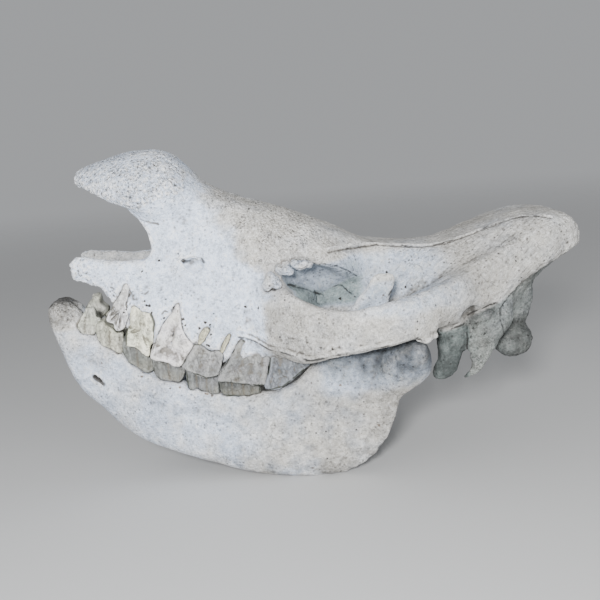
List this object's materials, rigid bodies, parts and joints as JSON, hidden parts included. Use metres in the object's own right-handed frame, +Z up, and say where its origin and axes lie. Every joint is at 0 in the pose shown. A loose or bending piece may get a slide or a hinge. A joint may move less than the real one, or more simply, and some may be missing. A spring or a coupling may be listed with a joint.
{
  "type": "rhinoceros skull",
  "caption": "Life-size skull and lower jaw of a two-horned rhinoceros, with cheek teeth in place, lying on the curve of its jaw.",
  "frame": {"origin": "under the middle of the box around the skull, at the level of the surface that the jaw rests on", "axes": "+X from the nose to the back of the skull, -Y to the animal's left side, +Z up"},
  "size_m": [0.7738, 0.3754, 0.4835],
  "materials": {
    "bone": "dry chalky off-white bone"
  },
  "bodies": {
    "root": {"nasal_left": "bone", "nasal_right": "bone", "maxilla_left": "bone", "maxilla_right": "bone", "frontal": "bone", "zygomatic_arch_left": "bone", "zygomatic_arch_right": "bone", "temporal_left": "bone", "temporal_right": "bone", "braincase": "bone", "occiput": "bone", "mandible_left": "bone", "mandible_right": "bone"}
  },
  "joints": []
}
